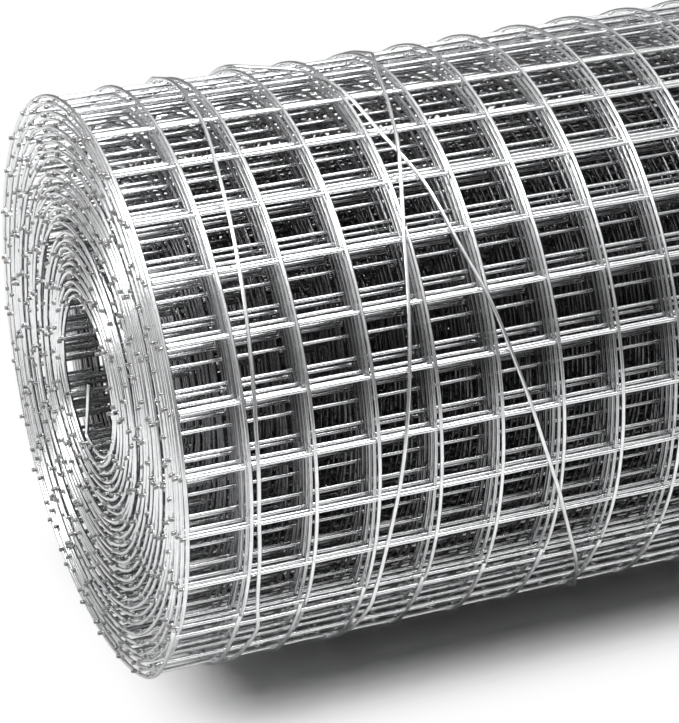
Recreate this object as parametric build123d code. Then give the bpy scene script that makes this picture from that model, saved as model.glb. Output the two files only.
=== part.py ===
from build123d import *
import math
import os

# Roll of galvanised welded wire mesh, lying on its side, in millimetres
#
# The roll's axis runs along X, at the height that puts its lowest tie wire on the plane z = 0.
# Angles round the roll are measured from the top (+Z) towards the front (-Y).

# Wire and mesh
wire_diameter = 1.65
line_wire_spacing = 25.4
cells_across = 24
cross_wire_stub = 2.5

# Roll
outer_diameter = 234.0
bore_diameter = 58.0
turns = 27
end_gap_depth = 4.0

# Tie wires: round steel wire, pulled tight over the outermost turn
tie_wire_diameter = 1.65
tie_wire_gap = 0.2
tie_wire_corners = 24

# Each tie's middle, its lean and its sway, along the roll from the left selvedge wire.
# The lean swings it once each way in a turn round the roll, and the sway twice.
tie_1 = {"station": 41.0, "lean": 13.0, "lean_towards": -77.0, "sway": 0.0, "sway_towards": 0.0}
tie_2 = {"station": 97.0, "lean": 29.5, "lean_towards": -29.0, "sway": 4.9, "sway_towards": -101.0}
tie_3 = {"station": 129.0, "lean": 48.4, "lean_towards": 148.0, "sway": 8.9, "sway_towards": 10.0}

# Worked-out sizes
mesh_width = cells_across * line_wire_spacing
roll_length = mesh_width + 2 * cross_wire_stub
outer_radius = outer_diameter / 2
bore_radius = bore_diameter / 2
turn_spacing = (outer_radius - bore_radius - wire_diameter) / (turns - 1)
left_selvedge_x = -mesh_width / 2
tie_route_radius = outer_radius + tie_wire_gap + tie_wire_diameter / 2
axis_height = tie_route_radius + tie_wire_diameter / 2


def end_profile(end_x, inward):
    """The points of one end from the bore to the rim: a flat ridge for each turn, a gap between turns."""
    points = []
    for turn in range(turns):
        ridge_inside = bore_radius + turn * turn_spacing
        ridge_outside = ridge_inside + wire_diameter
        points.append((end_x, ridge_inside))
        points.append((end_x, ridge_outside))
        if turn < turns - 1:
            gap_floor_x = end_x + inward * end_gap_depth
            points.append((gap_floor_x, ridge_outside))
            points.append((gap_floor_x, ridge_inside + turn_spacing))
    return points


def make_mesh_roll():
    """The rolled mesh as one turned solid, with its bore and with its turns on both ends."""
    left = end_profile(-roll_length / 2, 1)
    right = end_profile(roll_length / 2, -1)
    outline = Polyline(*left, *reversed(right), close=True)
    section = make_face(outline)
    roll = revolve(section, axis=Axis.X, revolution_arc=360)
    return Pos(0, 0, axis_height) * roll


def tie_x(tie, angle):
    """Where a tie wire's route lies along the roll at an angle round it."""
    lean = tie["lean"] * math.cos(math.radians(angle - tie["lean_towards"]))
    sway = tie["sway"] * math.cos(math.radians(2 * angle - tie["sway_towards"]))
    return left_selvedge_x + tie["station"] + lean + sway


def crossing_angles(tie, other):
    """The angles, to a degree, at which two ties' routes cross."""
    angles = []
    for angle in range(360):
        apart = tie_x(tie, angle) - tie_x(other, angle)
        apart_next = tie_x(tie, angle + 1) - tie_x(other, angle + 1)
        if apart * apart_next <= 0:
            angles.append(angle)
    return angles


def degrees_between(first, second):
    """The smaller angle between two directions."""
    return abs((first - second + 180) % 360 - 180)


def corner_radius(before, corner, after):
    """The largest bend that a corner's two runs leave room for."""
    run_in = corner - before
    run_out = after - corner
    turn = math.radians(run_in.get_angle(run_out))
    return 0.45 * min(run_in.length, run_out.length) / math.tan(turn / 2)


def sweep_wire(edges):
    """A stretch of round tie wire along joined edges."""
    path = Wire(edges)
    start = Plane(origin=path @ 0, z_dir=path % 0)
    section = start * Circle(tie_wire_diameter / 2)
    return sweep(section, path=path)


def tie_corners(tie, passed_over):
    """The corners of a tie's route. Each run's middle lies at the route's radius, so the corners stand off."""
    step = 360 / tie_wire_corners
    humps = [angle for other in passed_over for angle in crossing_angles(tie, other)]
    corners = []
    for index in range(tie_wire_corners):
        # A run, not a corner, lies lowest, at the foot of the roll.
        angle = (index + 0.5) * step
        radius = tie_route_radius
        if any(degrees_between(angle, hump) <= step for hump in humps):
            radius += tie_wire_diameter + tie_wire_gap
        distance = radius / math.cos(math.radians(step / 2))
        y = -distance * math.sin(math.radians(angle))
        z = axis_height + distance * math.cos(math.radians(angle))
        corners.append(Vector(tie_x(tie, angle), y, z))
    return corners


def make_tie_wire(tie, passed_over=()):
    """A closed loop of round wire: straight runs over the outermost turn, joined by tangent bends.

    It is humped where it passes over another tie.
    """
    corners = tie_corners(tie, passed_over)
    radii = []
    for index, corner in enumerate(corners):
        before = corners[index - 1]
        after = corners[(index + 1) % tie_wire_corners]
        radii.append(corner_radius(before, corner, after))
    route = Wire(FilletPolyline(*corners, radius=radii, close=True).edges()).order_edges()
    half = len(route) // 2
    # Two half loops, so that each one's section ends square where they join.
    return sweep_wire(route[:half]) + sweep_wire(route[half:])


os.makedirs("parts", exist_ok=True)
export_step(make_mesh_roll(), "parts/mesh_roll.step")
export_step(make_tie_wire(tie_1), "parts/tie_wire_1.step")
export_step(make_tie_wire(tie_2, passed_over=[tie_3]), "parts/tie_wire_2.step")
export_step(make_tie_wire(tie_3), "parts/tie_wire_3.step")
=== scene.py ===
import math

import bpy
import numpy as np
from mathutils import Matrix, Vector


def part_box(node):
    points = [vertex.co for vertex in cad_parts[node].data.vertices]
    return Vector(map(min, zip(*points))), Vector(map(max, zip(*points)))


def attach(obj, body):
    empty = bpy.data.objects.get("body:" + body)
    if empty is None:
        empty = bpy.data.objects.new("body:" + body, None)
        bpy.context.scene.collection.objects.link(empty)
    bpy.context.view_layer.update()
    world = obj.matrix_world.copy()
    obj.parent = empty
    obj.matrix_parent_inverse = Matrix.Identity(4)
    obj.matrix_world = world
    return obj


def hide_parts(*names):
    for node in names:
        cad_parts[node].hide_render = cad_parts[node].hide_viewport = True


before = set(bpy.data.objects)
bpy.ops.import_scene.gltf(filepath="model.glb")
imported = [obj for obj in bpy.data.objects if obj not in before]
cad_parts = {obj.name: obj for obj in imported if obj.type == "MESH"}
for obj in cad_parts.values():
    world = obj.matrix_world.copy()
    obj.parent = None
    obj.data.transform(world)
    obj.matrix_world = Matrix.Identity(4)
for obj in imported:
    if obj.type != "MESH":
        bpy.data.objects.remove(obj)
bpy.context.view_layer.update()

# Roll of galvanised welded wire mesh, lying on its side, with three tie wires
#
# Lengths are in millimetres until a mesh is made. The zinc's noise and relief, the floor, the lamps and
# the camera's reach are in metres.
# Angles round the roll are in degrees, from the top (+Z) towards the front (-Y). A "wind" is an angle
# along the rolled sheet, from its outer free end inward, so it grows by 360 in each turn. An "x" is
# a distance along the roll from the left selvedge wire.

MM = 0.001
TURN = 360
roll_low, roll_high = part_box("mesh_roll")
axis_height = (roll_low.z + roll_high.z) / 2 / MM
random = np.random.default_rng(7)

# Wire and mesh
wire_diameter = 1.65
wire_radius = wire_diameter / 2
line_wire_spacing = 25.4
row_spacing = 24.916
cells_across = 24
cross_wire_stub = 2.5
weld_sink = 0.3
cross_inset = wire_diameter - weld_sink
mesh_width = cells_across * line_wire_spacing
left_selvedge_x = -mesh_width / 2

# Ends of the sheet: where it starts and stops, how long its line wires' straight ends are there, between
# which shares of that they vary, how far they stray, and how the inner ones stand
free_end_angle = 119.1
inner_end_wind = 9438.0
outer_stub = 10.0
outer_stub_shares = (0.85, 1.05)
outer_stub_stray = 0.03
inner_stub = 23.5
inner_stub_shares = (0.93, 1.03)
inner_stub_stray = 0.02
inner_stub_direction = (0.08, 0.0, 1.0)
inner_stub_bend = 0.06

# Cut ends: the length of a line wire's bevel at the tip, and the share of its width any wire keeps there
cut_bevel = 0.3
cut_narrowing = 0.82

# Radius where the outermost turn starts, how far it and the innermost one close in over a full turn,
# and the radius where the innermost one starts
free_end_radius = 118.2
lap_taper = 3.2
inner_radius = 31.6

# Where the outermost turn stands off or is pressed in: millimetres, angle, width in degrees
outermost_turn_bumps = (
    (6.0, -125.0, 55.0),
    (-3.3, 180.0, 28.0),
    (-0.7, 20.0, 50.0),
)

# Spacing of the turns: the closest, how unevenly the slack is spread, and over how many degrees the
# slack changes and the sheet's bends are smoothed
closest_lap = 2.85
slack_spread = 1.1
slack_reach = 22
bend_smoothing = 5

# Wide gaps between turns: turn from the outside, angle, width in degrees, extra millimetres
wide_gaps = (
    (0, 85.0, 42.0, 3.2),
    (8, 100.0, 45.0, 3.2),
    (11, 105.0, 40.0, 1.2),
    (7, -78.0, 40.0, 1.6),
    (15, -128.0, 40.0, 1.2),
    (3, 150.0, 30.0, 0.8),
)

# The roll is lifted to clear the floor, and its outer turns hang lower than its inner ones
outer_sag = 2.6
roll_lift = 2.1

# How the turns, the free end and the single line wires shift along the roll
telescoping = 0.6
telescoping_power = 1.2
selvedge_wander = 0.45
selvedge_wander_reach = 40
selvedge_steady_wind = 400
free_end_skew = -3.5
free_end_skew_wind = 25
line_wire_wander = 0.22
line_wire_wander_reach = 30

# Where the ties pull the outer turns in
squeeze_depth = 1.7
squeeze_x = 125.0
squeeze_length = 75.0
squeeze_angle = -35.0
squeeze_width = 32.0
squeeze_wind = 1080

# Cross wires: the angle of one that shows at the front, and the one cell that is shorter than the rest
visible_row_angle = 68.99
rows_before_short_cell = 14
short_cell = 0.9

# Cross wires: how far each one slants, wavers and has its tips bent and cut longer or shorter, where
# its stubs start beyond the selvedge wire, and the length of the bevel at their tips
slant_spread = 0.25
sway_spread = 0.07
lift_spread = 0.06
tip_bend_spread = 0.25
tip_length_spread = 0.3
stub_root = 0.9
stub_bevel = 0.2

# Which turns are drawn more finely, as winds, and how finely: the most that a chord may lie off its
# curve, a cross wire's samples in each cell, and the sides of a wire
finer_line_wires_end = 4 * TURN
finer_cross_wires_end = 3 * TURN
outer_line_wires_off = 0.07
selvedge_wires_off = 0.05
inner_line_wires_off = 0.12
fine_samples = 2
coarse_samples = 0.5
fine_sides = 8
coarse_sides = 6
tie_sides = 12

# Welds: their size and corners, and between which shares of that size each one lies
weld_radius = 1.22
weld_half_height = 0.62
weld_corners = 6
weld_size_shares = (0.9, 1.1)

# Zinc: between which tones each wire and each weld lies, and between which values a weld's painted glint lies
line_wire_tones = (0.75, 1.15)
cross_wire_tones = (0.7, 1.2)
weld_tones = (0.4, 1.0)
painted_weld_glints = (0.0, 0.9)

# Painted shade: the wires are painted darker with depth into the roll, away from its outside, bore and ends
# Zinc: how far the painted light reaches into the roll, and how grey the cross wires' stubs are
cross_wires_painted_light_reach = 22.0
line_wires_painted_light_reach = 12.0
painted_light_from_bore = 6.0
painted_light_in_bore = 0.35
painted_light_from_end = 2.5
stub_cut = 0.85

# Zinc: colours, where a cut end starts to turn grey, the range of a noise that is used, the spangle, cloud
# and grain with their scales in features to a metre, and the roughness and relief that the grain gives
mesh_bright = (0.93, 0.935, 0.94)
tie_bright = (0.88, 0.885, 0.89)
zinc_dull = (0.72, 0.73, 0.74)
# Painted shade: the dark colour that wires take deep inside the roll, standing in for the shade there
painted_shade_colour = (0.16, 0.16, 0.165)
cut_steel = (0.2, 0.195, 0.19)
grey_from = 0.5
noise_band = (0.3, 0.7)
spangle_scale = 330.0
spangle_share = 0.45
cloud_scale = 120.0
cloud_detail = 4.0
cloud_share = 0.55
grain_scale = 1400.0
grain_detail = 3.0
roughness_range = (0.13, 0.26)
relief_strength = 0.25
relief_distance = 0.0001

# Tie wires: the degrees between samples where they are pulled tight and where they are drawn, and how
# many samples to each side round off a route's corners
tie_radius = 0.825
pulled_step = 0.5
drawn_step = 2.0
rounding = 4

# Tie wires: distance along the roll from the left selvedge wire, by angle
tie_routes = {
    "tie_wire_1": (
        (-13, 46.4), (10, 42.9), (27, 38.0), (42, 34.6), (58, 31.2), (74, 28.5), (92, 27.5), (113, 29.5),
        (121, 31.5), (131, 29.8), (142, 29.5), (180, 33.0), (230, 45.0), (290, 52.0), (325, 50.0),
    ),
    "tie_wire_2": (
        (-11, 129.7), (0, 122.4), (12, 117.0), (26, 109.4), (43, 100.0), (60, 93.7), (74, 89.0), (98, 82.0),
        (112, 79.5), (124, 76.5), (140, 71.8), (180, 70.0), (230, 84.0), (280, 112.0), (320, 130.0),
    ),
    "tie_wire_3": (
        (-20, 76.0), (-8, 96.0), (10, 103.0), (22, 107.5), (34, 115.0), (46, 119.5), (61, 127.8), (72, 134.0),
        (87, 142.6), (105, 154.8), (124, 169.0), (145, 182.0), (180, 184.0), (230, 160.0), (280, 110.0),
        (320, 78.0),
    ),
}

# Camera: at the photograph's viewing angle, from the left end of the roll's axis
camera_from_roll = Vector((-282.17, -952.97, 529.55)) * MM
camera_forward = Vector((0.33457, 0.81998, -0.46443)).normalized()
camera_focal = 140.4
camera_sees_to = 50.0
sensor_width = 36.0

# Floor: how far it reaches, its surface, the half length and half width of the patch under the roll
# that keeps its whole shadow, and how far outside that patch the shadow starts to fade and is gone
floor_reach = 4.0
floor_white = (0.94, 0.94, 0.94, 1.0)
floor_roughness = 0.7
floor_gloss = 0.1
roll_footprint = (0.255, 0.056)
shadow_kept_to = 0.0
white_from = 0.06

# Lamps: name, place, target, width and watts
lamps = (
    ("top_lamp", (0.0, -0.32, 1.7), (-0.05, 0, 0.1), 1.0, 30.0),
    ("left_lamp", (-1.5, 0.35, 0.9), (-0.1, 0, 0.1), 0.9, 12.0),
)

# World: its strength on the floor, and in the metal low down and high up, and how low and high those are
world_on_floor = 0.01
world_low_in_metal = 0.25
world_high_in_metal = 1.0
world_low_z = 0.1
world_high_z = 0.9


def bump(angle, centre, width):
    """A smooth bump of height 1 round the roll, about an angle."""
    apart = (angle - centre + TURN / 2) % TURN - TURN / 2
    return np.exp(-((apart / width) ** 2))


def bell(reach):
    """Weights of a smoothing bell, out to three times its reach."""
    span = np.arange(-3 * reach, 3 * reach + 1)
    return np.exp(-0.5 * (span / reach) ** 2)


def smooth_noise(count, reach):
    """Random values with a mean of 0 and a spread of 1 that change smoothly over a number of samples."""
    kernel = bell(reach)
    values = np.convolve(random.normal(size=count + len(kernel) - 1), kernel, mode="valid")
    return (values - values.mean()) / values.std()


def outermost_turn(degrees):
    """The outermost turn's radius at degrees of wind."""
    radius = free_end_radius - lap_taper * degrees / TURN
    for height, centre, width in outermost_turn_bumps:
        radius += height * bump(degrees + free_end_angle, centre, width)
    return radius


def turn_gaps(laps, wind, outer, inner):
    """The radial spacing of each turn from the next, for every degree."""
    slack = np.exp(slack_spread * smooth_noise(laps * TURN, slack_reach)).reshape(laps, TURN)
    wide = np.zeros((laps, TURN))
    for lap, centre, width, extra in wide_gaps:
        start = (centre - free_end_angle) % TURN + TURN * lap
        wide += (extra * np.exp(-(((wind[:-1] - start) / width) ** 2))).reshape(laps, TURN)
    room = outer - inner - (laps - 1) * closest_lap - wide[:-1].sum(axis=0)
    slack *= room / slack[:-1].sum(axis=0)
    return closest_lap + slack + wide


def lay_out_sheet():
    """The sheet's wind, radius, shift along the roll, drop and length wound, for every degree of wind."""
    laps = int(inner_end_wind // TURN) + 1
    wind = np.arange(laps * TURN + 1, dtype=float)
    first = np.arange(TURN)
    outer = outermost_turn(first)
    inner = inner_radius - lap_taper * first / TURN
    gaps = turn_gaps(laps, wind, outer, inner)
    turns = np.empty((laps, TURN))
    turns[0] = outer
    for lap in range(1, laps):
        turns[lap] = turns[lap - 1] - gaps[lap - 1]
    stepped = np.append(turns.ravel(), turns[-1, -1])
    kernel = bell(bend_smoothing)
    padded = np.pad(stepped, 3 * bend_smoothing, mode="edge")
    radius = np.convolve(padded, kernel / kernel.sum(), mode="valid")
    inward = wind / wind[-1]
    selvedge = selvedge_wander * smooth_noise(len(wind), selvedge_wander_reach)
    shift = -telescoping * inward ** telescoping_power + selvedge * np.minimum(1, wind / selvedge_steady_wind)
    shift += free_end_skew * np.exp(-((wind / free_end_skew_wind) ** 2))
    drop = roll_lift - outer_sag * (1 - inward)
    length = np.concatenate([[0], np.cumsum(np.radians(1.0) * (radius[1:] + radius[:-1]) / 2)])
    return wind, radius, shift, drop, length


wind_table, radius_table, shift_table, drop_table, length_table = lay_out_sheet()


def radial(angle):
    """Unit vectors from the axis at angles round the roll."""
    turn = np.radians(angle)
    return np.stack([np.zeros_like(turn), -np.sin(turn), np.cos(turn)], axis=-1)


def along(angle):
    """Unit vectors along the sheet at angles round the roll, in the direction of growing wind."""
    turn = np.radians(angle)
    return np.stack([np.zeros_like(turn), -np.cos(turn), -np.sin(turn)], axis=-1)


def squeeze(wind, x):
    """How far the ties pull the outer turns in along the top of the roll, where they lie."""
    along_roll = np.exp(-(((x - squeeze_x) / squeeze_length) ** 2))
    round_roll = bump(wind + free_end_angle, squeeze_angle, squeeze_width)
    into_roll = np.exp(-((wind / squeeze_wind) ** 2))
    return squeeze_depth * along_roll * round_roll * into_roll


def sheet_point(wind, x, inset=0.0):
    """Points of the sheet at winds and at distances along the roll, inset towards the axis."""
    radius = np.interp(wind, wind_table, radius_table) - inset - squeeze(wind, x)
    points = radius[..., None] * radial(wind + free_end_angle)
    points[..., 0] += left_selvedge_x + x + np.interp(wind, wind_table, shift_table)
    points[..., 2] += axis_height + np.interp(wind, wind_table, drop_table)
    return points


def row_winds():
    """The winds of the cross wires, from the free end inward."""
    first_visible = visible_row_angle + TURN - free_end_angle
    first_length = np.interp(first_visible, wind_table, length_table)
    end_length = np.interp(inner_end_wind, wind_table, length_table)
    hidden = round(first_length / row_spacing)
    outer_lengths = first_length * np.arange(hidden) / hidden
    inner_lengths = np.arange(first_length, end_length, row_spacing)
    inner_lengths[rows_before_short_cell:] -= short_cell
    lengths = np.concatenate([outer_lengths, inner_lengths])
    return np.interp(lengths, length_table, wind_table)


def painted_light_level(wind, x, reach):
    """How much painted light the zinc gets: 1 on the outside and at the ends, and less beyond the reach,
    where shade is painted.
    """
    radius = np.interp(wind, wind_table, radius_table)
    from_outside = np.maximum(0, free_end_radius - radius)
    from_bore = np.maximum(0, radius - inner_radius)
    from_end = np.clip(np.minimum(x, mesh_width - x), 0, None)
    outside = np.exp(-((from_outside / reach) ** 3))
    bore = painted_light_in_bore * np.exp(-((from_bore / painted_light_from_bore) ** 2))
    end = np.exp(-((from_end / painted_light_from_end) ** 2))
    return np.maximum(np.maximum(outside, bore), end)


class Shape:
    """Vertices, faces and values of one mesh, gathered from arrays."""

    def __init__(self):
        self.vertices = []
        self.loops = []
        self.sizes = []
        self.smooth = []
        self.tones = []
        self.ends = []
        self.painted_light_levels = []
        self.count = 0

    def add_faces(self, faces, smooth):
        """Adds faces, each row one face, whose numbers count from the first vertex that isn't counted yet."""
        self.loops.append((faces + self.count).ravel())
        self.sizes.append(np.full(len(faces), faces.shape[1]))
        self.smooth.append(np.full(len(faces), smooth))

    def add_vertices(self, vertices, tone, end, bright):
        """Adds vertices, with the values that the material reads at each."""
        self.vertices.append(vertices)
        self.tones.append(tone)
        self.ends.append(end)
        self.painted_light_levels.append(bright)

    def close(self):
        """Counts what was added, so that the next faces start from there."""
        self.count = sum(len(block) for block in self.vertices)

    def build(self, name, material):
        """Makes the object, in metres."""
        mesh = bpy.data.meshes.new(name)
        vertices = np.concatenate(self.vertices) * MM
        loops = np.concatenate(self.loops)
        sizes = np.concatenate(self.sizes)
        mesh.vertices.add(len(vertices))
        mesh.vertices.foreach_set("co", vertices.astype(np.float32).ravel())
        mesh.loops.add(len(loops))
        mesh.loops.foreach_set("vertex_index", loops.astype(np.int32))
        mesh.polygons.add(len(sizes))
        starts = np.concatenate([[0], np.cumsum(sizes)[:-1]])
        mesh.polygons.foreach_set("loop_start", starts.astype(np.int32))
        mesh.polygons.foreach_set("loop_total", sizes.astype(np.int32))
        mesh.update(calc_edges=True)
        mesh.polygons.foreach_set("use_smooth", np.concatenate(self.smooth))
        # The "bright" attribute is painted light: low values paint shade on the zinc inside the roll
        values = {"tone": self.tones, "cut_end": self.ends, "bright": self.painted_light_levels}
        for label, blocks in values.items():
            attribute = mesh.attributes.new(label, "FLOAT", "POINT")
            attribute.data.foreach_set("value", np.concatenate(blocks).astype(np.float32))
        mesh.validate()
        mesh.materials.append(material)
        piece = bpy.data.objects.new(name, mesh)
        bpy.context.scene.collection.objects.link(piece)
        return piece


def add_wires(shape, points, side, up, sides, tones, bright, capped=(True, True), cut=0.0):
    """Round wires along rows of points. side and up are unit vectors square to each wire."""
    wires, count = points.shape[:2]
    turn = 2 * math.pi * (np.arange(sides) + 0.5) / sides
    rim = np.cos(turn)[:, None] * side[..., None, :] + np.sin(turn)[:, None] * up[..., None, :]
    radii = np.full(count, wire_radius)
    end = np.zeros(count) + cut
    for capped_end, index in zip(capped, (0, -1)):
        if capped_end:
            radii[index] = wire_radius * cut_narrowing
            end[index] = 1.0
    vertices = points[..., None, :] + radii[:, None, None] * rim
    tone = np.broadcast_to(tones[:, None, None], (wires, count, sides))
    ends = np.broadcast_to(end[:, None], (wires, count, sides))
    painted_light_levels = np.broadcast_to(bright[..., None], (wires, count, sides))
    ring = np.arange(sides)
    after = (ring + 1) % sides
    base = (np.arange(wires)[:, None] * count + np.arange(count - 1)).ravel()[:, None] * sides
    quads = np.stack([base + ring, base + after, base + sides + after, base + sides + ring], axis=-1)
    shape.add_faces(quads.reshape(-1, 4), True)
    shape.add_vertices(vertices.reshape(-1, 3), tone.ravel(), ends.ravel(), painted_light_levels.ravel())
    first = (np.arange(wires) * count * sides)[:, None]
    last = first + (count - 1) * sides
    if capped[0]:
        shape.add_faces(first + ring[::-1], False)
    if capped[1]:
        shape.add_faces(last + ring, False)
    shape.close()


def new_material(name):
    """A material that has only its Principled shader, with its nodes and links."""
    material = bpy.data.materials.new(name)
    material.use_nodes = True
    return material, material.node_tree.nodes, material.node_tree.links


def noise_node(nodes, links, coordinates, scale, detail):
    """Noise at a point in metres, with so many features to a metre."""
    node = nodes.new("ShaderNodeTexNoise")
    node.inputs["Scale"].default_value = scale
    node.inputs["Detail"].default_value = detail
    links.new(coordinates, node.inputs["Vector"])
    return node.outputs["Fac"]


def range_node(nodes, links, value, low, high, new_low, new_high):
    """Maps a value smoothly from one range to another."""
    node = nodes.new("ShaderNodeMapRange")
    node.interpolation_type = "SMOOTHSTEP"
    for label, number in (("From Min", low), ("From Max", high), ("To Min", new_low), ("To Max", new_high)):
        node.inputs[label].default_value = number
    links.new(value, node.inputs["Value"])
    return node.outputs["Result"]


def math_node(nodes, links, operation, values, clamp=False):
    """A sum, product or the like of values, each a number or another node's output."""
    node = nodes.new("ShaderNodeMath")
    node.operation = operation
    node.use_clamp = clamp
    for index, value in enumerate(values):
        if isinstance(value, float):
            node.inputs[index].default_value = value
        else:
            links.new(value, node.inputs[index])
    return node.outputs["Value"]


def mix_node(nodes, links, factor, first, second):
    """Mixes two colours, each a fixed one or another node's output."""
    node = nodes.new("ShaderNodeMix")
    node.data_type = "RGBA"
    for label, colour in (("A", first), ("B", second)):
        if isinstance(colour, tuple):
            node.inputs[label].default_value = (*colour, 1.0)
        else:
            links.new(colour, node.inputs[label])
    links.new(factor, node.inputs["Factor"])
    return node.outputs["Result"]


def attribute_node(nodes, name):
    """A value that the mesh carries."""
    node = nodes.new("ShaderNodeAttribute")
    node.attribute_name = name
    return node.outputs["Fac"]


def vector_node(nodes, links, operation, first, second=None):
    """A vector sum, length or the like."""
    node = nodes.new("ShaderNodeVectorMath")
    node.operation = operation
    links.new(first, node.inputs[0])
    if second is not None:
        node.inputs[1].default_value = second
    return node.outputs


def spangle_node(nodes, links, place):
    """Zinc crystals: a random value for each cell."""
    cells = nodes.new("ShaderNodeTexVoronoi")
    cells.inputs["Scale"].default_value = spangle_scale
    links.new(place, cells.inputs["Vector"])
    channels = nodes.new("ShaderNodeSeparateColor")
    links.new(cells.outputs["Color"], channels.inputs["Color"])
    return channels.outputs["Red"]


def zinc_material(name, bright, dull):
    """Galvanised wire: spangled and clouded zinc, painted dark deep inside the roll as shade, grey at cut
    ends.
    """
    material, nodes, links = new_material(name)
    shader = nodes["Principled BSDF"]
    shader.inputs["Metallic"].default_value = 1.0
    place = nodes.new("ShaderNodeTexCoord").outputs["Object"]
    cloud = noise_node(nodes, links, place, cloud_scale, cloud_detail)
    grain = noise_node(nodes, links, place, grain_scale, grain_detail)

    clouded = range_node(nodes, links, cloud, *noise_band, 0.0, cloud_share)
    spangle = spangle_node(nodes, links, place)
    patch = math_node(nodes, links, "MULTIPLY_ADD", (spangle, spangle_share, clouded))
    shade = math_node(nodes, links, "MULTIPLY", (patch, attribute_node(nodes, "tone")), clamp=True)
    zinc = mix_node(nodes, links, shade, dull, bright)
    # Painted shade: the "bright" attribute mixes the zinc towards a dark colour deep inside the roll
    painted_shade_zinc = mix_node(nodes, links, attribute_node(nodes, "bright"), painted_shade_colour, zinc)
    cut = range_node(nodes, links, attribute_node(nodes, "cut_end"), grey_from, 1.0, 0.0, 1.0)
    links.new(mix_node(nodes, links, cut, painted_shade_zinc, cut_steel), shader.inputs["Base Color"])
    links.new(range_node(nodes, links, grain, *noise_band, *roughness_range), shader.inputs["Roughness"])

    relief = nodes.new("ShaderNodeBump")
    relief.inputs["Strength"].default_value = relief_strength
    relief.inputs["Distance"].default_value = relief_distance
    links.new(grain, relief.inputs["Height"])
    links.new(relief.outputs["Normal"], shader.inputs["Normal"])
    return material


mesh_zinc = zinc_material("galvanised_mesh_wire", mesh_bright, zinc_dull)
tie_zinc = zinc_material("galvanised_tie_wire", tie_bright, zinc_dull)


def add_piece(shape, name, material, node):
    """Builds a piece that rides on the roll and stands for a CAD node."""
    piece = shape.build(name, material)
    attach(piece, "root")
    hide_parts(node)
    return piece


def add_mesh_piece(shape, name):
    """Builds a piece of the rolled mesh."""
    add_piece(shape, name, mesh_zinc, "mesh_roll")


every_wire = np.arange(cells_across + 1)
wander = [smooth_noise(len(wind_table), line_wire_wander_reach) for wire in every_wire]
wire_tones = random.uniform(*line_wire_tones, cells_across + 1)


def wind_samples(start, stop, off_line):
    """Winds from start to stop, close enough that a chord between two is that far off the curve."""
    winds = [start]
    while winds[-1] < stop:
        radius = np.interp(winds[-1], wind_table, radius_table)
        winds.append(winds[-1] + 2 * math.degrees(math.acos(1 - off_line / radius)))
    winds[-1] = stop
    return np.array(winds)


def line_wire_points(winds, wires):
    """Centre points of line wires at winds, with the faint sideways wander that each has."""
    points = np.empty((len(wires), len(winds), 3))
    for index, wire in enumerate(wires):
        sideways = line_wire_wander * np.interp(winds, wind_table, wander[wire])
        points[index] = sheet_point(winds, wire * line_wire_spacing + sideways)
    return points


def repeated(array, index, times):
    """One sample of every wire, so many times over."""
    return np.repeat(array[:, [index]], times, axis=1)


def outer_tips(points, wires):
    """The straight ends of line wires past the free end's cross wire: tips, and the bevels next to them."""
    lengths = outer_stub * random.uniform(*outer_stub_shares, len(wires))
    direction = -along(np.array([free_end_angle]))[0]
    stray = random.normal(0, outer_stub_stray, (len(wires), 3))
    tips = points[:, 0] + lengths[:, None] * (direction + stray)
    bevels = tips + cut_bevel * (points[:, 0] - tips) / outer_stub
    return np.stack([tips, bevels], axis=1)


def inner_tips(points, wires):
    """The straight ends of line wires that stand up in the bore: bends, the bevels at the tips, and tips."""
    lengths = inner_stub * random.uniform(*inner_stub_shares, len(wires))
    foot = points[:, -1]
    stray = random.normal(0, inner_stub_stray, (len(wires), 3))
    tips = foot + lengths[:, None] * (np.array(inner_stub_direction) + stray)
    bends = foot + inner_stub_bend * (tips - foot)
    bevels = tips - cut_bevel * (tips - foot) / inner_stub
    return np.stack([bends, bevels, tips], axis=1)


def add_line_wires(shape, wires, start, stop, off_line, sides, free_start=False, free_stop=False):
    """Line wires between two winds, with their straight ends past the last cross wire where they are free."""
    winds = wind_samples(start, stop, off_line)
    points = line_wire_points(winds, wires)
    side = np.broadcast_to(np.array([1.0, 0.0, 0.0]), points.shape)
    up = np.broadcast_to(radial(winds + free_end_angle), points.shape)
    x = (wires * line_wire_spacing)[:, None]
    # Painted light: each sample's level, which paints shade on the wire deeper in the roll
    bright = painted_light_level(winds[None, :], x, line_wires_painted_light_reach)
    if free_start:
        points = np.concatenate([outer_tips(points, wires), points], axis=1)
        side = np.concatenate([repeated(side, 0, 2), side], axis=1)
        up = np.concatenate([repeated(up, 0, 2), up], axis=1)
        bright = np.concatenate([repeated(bright, 0, 2), bright], axis=1)
    if free_stop:
        points = np.concatenate([points, inner_tips(points, wires)], axis=1)
        stub_up = np.broadcast_to(np.array([0.0, -1.0, 0.0]), (len(wires), 3, 3))
        side = np.concatenate([side, repeated(side, -1, 3)], axis=1)
        up = np.concatenate([up, stub_up], axis=1)
        bright = np.concatenate([bright, repeated(bright, -1, 3)], axis=1)
    add_wires(shape, points, side, up, sides, wire_tones[wires], bright, (free_start, free_stop))


def cross_wire_x(steps_per_cell):
    """Distances along the roll of a cross wire's samples, from the tip of one stub to the other's."""
    inner = np.linspace(0, mesh_width, int(cells_across * steps_per_cell) + 1)
    stub = np.array([stub_root, cross_wire_stub - stub_bevel, cross_wire_stub])
    return np.concatenate([-stub[::-1], inner, inner[-1] + stub])


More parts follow.
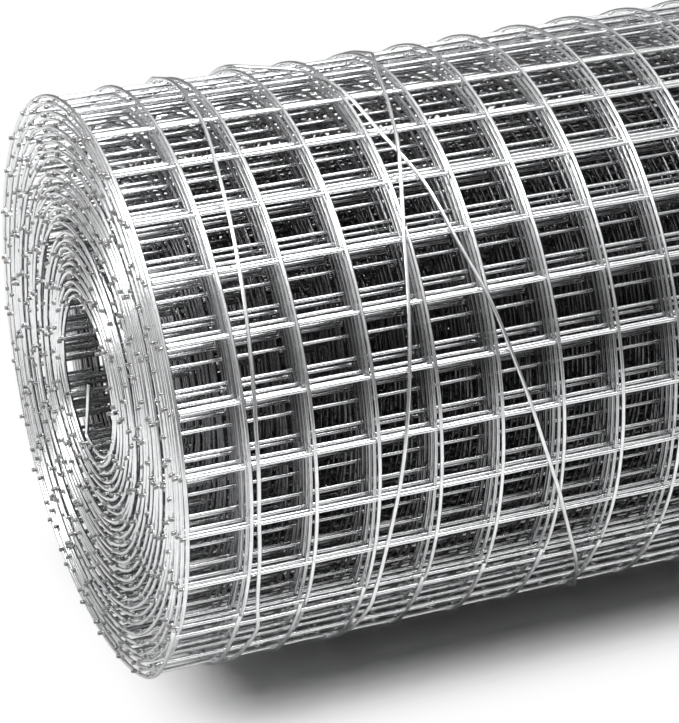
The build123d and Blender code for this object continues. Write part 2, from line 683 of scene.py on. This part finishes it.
def add_cross_wires(shape, winds, steps_per_cell, sides):
    """Cross wires at winds, inside the line wires, from stub to stub."""
    x = cross_wire_x(steps_per_cell)
    cut = np.where((x < -wire_radius) | (x > mesh_width + wire_radius), stub_cut, 0.0)
    count = len(winds)
    wound = np.repeat(winds[:, None], len(x), axis=1)
    points = sheet_point(wound, x, cross_inset)
    up = radial(wound + free_end_angle)
    side = along(wound + free_end_angle)
    slant = random.normal(0, slant_spread, (count, 1)) * (x / x[-1] - 0.5)
    sway = random.normal(0, sway_spread, (count, len(x)))
    lift = random.normal(0, lift_spread, (count, len(x)))
    points += (slant + sway)[..., None] * side + lift[..., None] * up
    tip_bend = random.normal(0, tip_bend_spread, (2, count, 2))
    for index, first in ((0, 0), (1, len(x) - 2)):
        points[:, first:first + 2] += (tip_bend[index, :, :1] * side[:, 0])[:, None]
        points[:, first:first + 2] += (tip_bend[index, :, 1:] * up[:, 0])[:, None]
        points[:, first:first + 2, 0] += random.normal(0, tip_length_spread, (count, 1))
    tones = random.uniform(*cross_wire_tones, count)
    # Painted light: each sample's level, which paints shade on the wire deeper in the roll
    bright = painted_light_level(wound, x, cross_wires_painted_light_reach)
    add_wires(shape, points, side, up, sides, tones, bright, cut=cut)


def add_welds(shape, winds):
    """A small bead where each cross wire is welded to each line wire."""
    wound, x = np.meshgrid(winds, every_wire * line_wire_spacing, indexing="ij")
    wound = wound.ravel()
    x = x.ravel()
    centre = sheet_point(wound, x, cross_inset / 2)
    up = radial(wound + free_end_angle)
    side = along(wound + free_end_angle)
    across = np.broadcast_to(np.array([1.0, 0.0, 0.0]), up.shape)
    size = random.uniform(*weld_size_shares, (len(centre), 1))
    turn = np.radians(np.arange(weld_corners) * (TURN / weld_corners))
    ring = [centre + size * weld_radius * (math.cos(a) * side + math.sin(a) * across) for a in turn]
    poles = [centre + size * weld_half_height * up, centre - size * weld_half_height * up]
    vertices = np.stack(ring + poles, axis=1)
    faces = []
    for corner in range(weld_corners):
        following = (corner + 1) % weld_corners
        faces.append([corner, following, weld_corners])
        faces.append([following, corner, weld_corners + 1])
    each = weld_corners + 2
    base = (np.arange(len(centre)) * each)[:, None, None]
    tone = np.repeat(random.uniform(*weld_tones, len(centre)), each)
    # Painted glint: random welds are lifted out of the painted shade, so they shine as sparkles deep in the
    # roll
    painted_glint = random.uniform(*painted_weld_glints, len(centre))
    bright = np.maximum(painted_light_level(wound, x, cross_wires_painted_light_reach), painted_glint)
    shape.add_faces((base + np.array(faces)).reshape(-1, 3), True)
    shape.add_vertices(vertices.reshape(-1, 3), tone, np.zeros(len(tone)), np.repeat(bright, each))
    shape.close()


def add_mesh():
    """The rolled mesh: line wires, cross wires and welds."""
    shape = Shape()
    add_line_wires(shape, every_wire, 0.0, finer_line_wires_end, outer_line_wires_off, fine_sides,
                   free_start=True)
    add_mesh_piece(shape, "mesh_line_wires_outer_turns")

    shape = Shape()
    add_line_wires(shape, every_wire[[0, -1]], finer_line_wires_end, inner_end_wind, selvedge_wires_off,
                   fine_sides, free_stop=True)
    add_mesh_piece(shape, "mesh_selvedge_wires")

    middle_wires = every_wire[1:-1]
    half = len(middle_wires) // 2
    for name, wires in (("a", middle_wires[:half]), ("b", middle_wires[half:])):
        shape = Shape()
        add_line_wires(shape, wires, finer_line_wires_end, inner_end_wind, inner_line_wires_off,
                       coarse_sides, free_stop=True)
        add_mesh_piece(shape, "mesh_line_wires_inner_turns_" + name)

    rows = row_winds()
    shape = Shape()
    add_cross_wires(shape, rows[rows < finer_cross_wires_end], fine_samples, fine_sides)
    add_mesh_piece(shape, "mesh_cross_wires_outer_turns")
    shape = Shape()
    add_cross_wires(shape, rows[rows >= finer_cross_wires_end], coarse_samples, coarse_sides)
    add_mesh_piece(shape, "mesh_cross_wires_inner_turns")

    shape = Shape()
    add_welds(shape, rows)
    add_mesh_piece(shape, "mesh_welds")


def tie_x(route, angle):
    """Where a tie's route lies along the roll at angles round it."""
    angles = np.array([point[0] for point in route], float)
    places = np.array([point[1] for point in route], float)
    angles = np.concatenate([angles - TURN, angles, angles + TURN])
    places = np.tile(places, 3)
    return np.interp(angle, angles, places)


def half_hull(points, order):
    """The points, taken in an order, that touch a string pulled tight over one side of them."""
    chain = []
    for index in order:
        while len(chain) > 1:
            ax, ay = points[chain[-2]]
            bx, by = points[chain[-1]]
            cx, cy = points[index]
            if (bx - ax) * (cy - ay) - (by - ay) * (cx - ax) > 0:
                break
            chain.pop()
        chain.append(index)
    return chain


def hull(points):
    """Which of the points round a loop touch a string pulled tight round them."""
    order = sorted(range(len(points)), key=lambda index: (points[index][0], points[index][1]))
    return sorted(set(half_hull(points, order)) | set(half_hull(points, order[::-1])))


def outermost(angle, x):
    """The radius and the drop of the outermost turn's line wires at angles round the roll."""
    wind = (angle - free_end_angle) % TURN
    radius = np.interp(wind, wind_table, radius_table) - squeeze(wind, x)
    return radius, np.interp(wind, wind_table, drop_table)


def tie_lift(x, angle, over):
    """How far a tie's centre stands off the outermost turn: on a line wire, between two, or over a tie."""
    off_wire = np.abs((x + line_wire_spacing / 2) % line_wire_spacing - line_wire_spacing / 2)
    lift = np.where(off_wire < wire_diameter, wire_diameter, wire_diameter - cross_inset)
    for other in over:
        apart = np.abs(x - tie_x(other, angle))
        lift = np.where(apart < 2 * wire_diameter, 2 * wire_diameter, lift)
    return lift


def tie_points(route, over):
    """A tie pulled tight over the outermost turn, resting on the line wires that it crosses."""
    angle = np.arange(0, TURN, pulled_step)
    x = tie_x(route, angle)
    width = 2 * rounding + 1
    x = np.convolve(np.concatenate([x[-rounding:], x, x[:rounding]]), np.ones(width) / width, mode="valid")
    radius, drop = outermost(angle, x)
    reach = radius + tie_lift(x, angle, over)
    y = -reach * np.sin(np.radians(angle))
    z = drop + reach * np.cos(np.radians(angle))
    touching = hull(list(zip(y, z)))
    closed_angle = np.append(angle[touching], angle[touching[0]] + TURN)
    closed_y = np.append(y[touching], y[touching[0]])
    closed_z = np.append(z[touching], z[touching[0]])
    samples = np.arange(0, TURN, drawn_step)
    closed = (samples - closed_angle[0]) % TURN + closed_angle[0]
    line_y = np.interp(closed, closed_angle, closed_y)
    line_z = np.interp(closed, closed_angle, closed_z)
    line_x = np.interp(samples, np.append(angle, float(TURN)), np.append(x, x[0]))
    return samples, np.stack([left_selvedge_x + line_x, line_y, axis_height + line_z], axis=-1)


def add_tie(name, over=()):
    """A closed loop of tie wire."""
    samples, points = tie_points(tie_routes[name], over)
    count = len(points)
    ahead = np.roll(points, -1, axis=0) - np.roll(points, 1, axis=0)
    ahead /= np.linalg.norm(ahead, axis=1)[:, None]
    side = np.cross(ahead, radial(samples))
    side /= np.linalg.norm(side, axis=1)[:, None]
    up = np.cross(side, ahead)
    turn = 2 * math.pi * np.arange(tie_sides) / tie_sides
    rim = np.cos(turn)[:, None] * side[:, None] + np.sin(turn)[:, None] * up[:, None]
    vertices = points[:, None] + tie_radius * rim
    ring = np.arange(tie_sides)
    following = (ring + 1) % tie_sides
    base = (np.arange(count) * tie_sides)[:, None]
    after = ((np.arange(count) + 1) % count * tie_sides)[:, None]
    quads = np.stack([base + ring, after + ring, after + following, base + following], axis=-1)
    full = np.ones(count * tie_sides)
    shape = Shape()
    shape.add_faces(quads.reshape(-1, 4), True)
    shape.add_vertices(vertices.reshape(-1, 3), full, 0 * full, full)
    shape.close()
    add_piece(shape, name + "_wire", tie_zinc, name)


def add_camera():
    """The photograph's camera, placed from the left end of the outermost turn's axis."""
    camera = bpy.data.objects.new("camera", bpy.data.cameras.new("camera"))
    camera.data.lens = camera_focal
    camera.data.sensor_width = sensor_width
    camera.data.clip_end = camera_sees_to
    roll_start = Vector((left_selvedge_x, 0, axis_height + roll_lift - outer_sag)) * MM
    right = camera_forward.cross(Vector((0, 0, 1))).normalized()
    up = right.cross(camera_forward)
    turn = Matrix((right, up, -camera_forward)).transposed()
    camera.matrix_world = Matrix.Translation(roll_start + camera_from_roll) @ turn.to_4x4()
    bpy.context.scene.collection.objects.link(camera)
    bpy.context.scene.camera = camera


def floor_material():
    """White floor that keeps the roll's shadow near it and is plain white to the camera further off."""
    material, nodes, links = new_material("floor_white")
    shader = nodes["Principled BSDF"]
    shader.inputs["Base Color"].default_value = floor_white
    shader.inputs["Roughness"].default_value = floor_roughness
    shader.inputs["Specular IOR Level"].default_value = floor_gloss
    place = nodes.new("ShaderNodeTexCoord").outputs["Object"]
    folded = vector_node(nodes, links, "ABSOLUTE", place)["Vector"]
    beyond = vector_node(nodes, links, "SUBTRACT", folded, (*roll_footprint, 0.0))["Vector"]
    outside = vector_node(nodes, links, "MAXIMUM", beyond, (0.0, 0.0, 0.0))["Vector"]
    distance = vector_node(nodes, links, "LENGTH", outside)["Value"]
    far = range_node(nodes, links, distance, shadow_kept_to, white_from, 0.0, 1.0)
    to_camera = nodes.new("ShaderNodeLightPath").outputs["Is Camera Ray"]
    plain = nodes.new("ShaderNodeEmission")
    plain.inputs["Color"].default_value = (1.0, 1.0, 1.0, 1.0)
    plain.inputs["Strength"].default_value = 1.0
    blend = nodes.new("ShaderNodeMixShader")
    links.new(math_node(nodes, links, "MULTIPLY", (far, to_camera)), blend.inputs["Fac"])
    links.new(shader.outputs["BSDF"], blend.inputs[1])
    links.new(plain.outputs["Emission"], blend.inputs[2])
    links.new(blend.outputs["Shader"], nodes["Material Output"].inputs["Surface"])
    return material


def add_floor():
    """A plain floor, level with the foot of the CAD model."""
    mesh = bpy.data.meshes.new("floor")
    corners = [(floor_reach * x, floor_reach * y, 0) for x, y in ((-1, -1), (1, -1), (1, 1), (-1, 1))]
    mesh.from_pydata(corners, [], [(0, 1, 2, 3)])
    floor = bpy.data.objects.new("floor", mesh)
    bpy.context.scene.collection.objects.link(floor)
    mesh.materials.append(floor_material())


def add_lamp(name, place, target, size, watts):
    """A round, soft lamp that points at its target."""
    light = bpy.data.lights.new(name, "AREA")
    light.shape = "DISK"
    light.size = size
    light.energy = watts
    lamp = bpy.data.objects.new(name, light)
    lamp.location = place
    lamp.rotation_euler = (Vector(target) - Vector(place)).to_track_quat("-Z", "Y").to_euler()
    bpy.context.scene.collection.objects.link(lamp)


def set_world():
    """A studio that is brighter overhead in the metal, faint on the floor, and white to the camera."""
    world = bpy.data.worlds.new("studio")
    bpy.context.scene.world = world
    world.use_nodes = True
    nodes = world.node_tree.nodes
    links = world.node_tree.links
    background = nodes["Background"]
    path = nodes.new("ShaderNodeLightPath")
    direction = nodes.new("ShaderNodeSeparateXYZ")
    links.new(nodes.new("ShaderNodeTexCoord").outputs["Generated"], direction.inputs["Vector"])
    height = range_node(nodes, links, direction.outputs["Z"], world_low_z, world_high_z,
                        world_low_in_metal, world_high_in_metal)
    in_metal = math_node(nodes, links, "MULTIPLY", (height, path.outputs["Is Glossy Ray"]))
    lit = math_node(nodes, links, "MAXIMUM", (in_metal, world_on_floor))
    shown = math_node(nodes, links, "MAXIMUM", (lit, path.outputs["Is Camera Ray"]))
    background.inputs["Color"].default_value = (1, 1, 1, 1)
    links.new(shown, background.inputs["Strength"])


add_mesh()
add_tie("tie_wire_1")
add_tie("tie_wire_3")
add_tie("tie_wire_2", over=[tie_routes["tie_wire_3"]])
add_camera()
add_floor()
for lamp_values in lamps:
    add_lamp(*lamp_values)
set_world()
bpy.context.scene.view_settings.view_transform = "Standard"
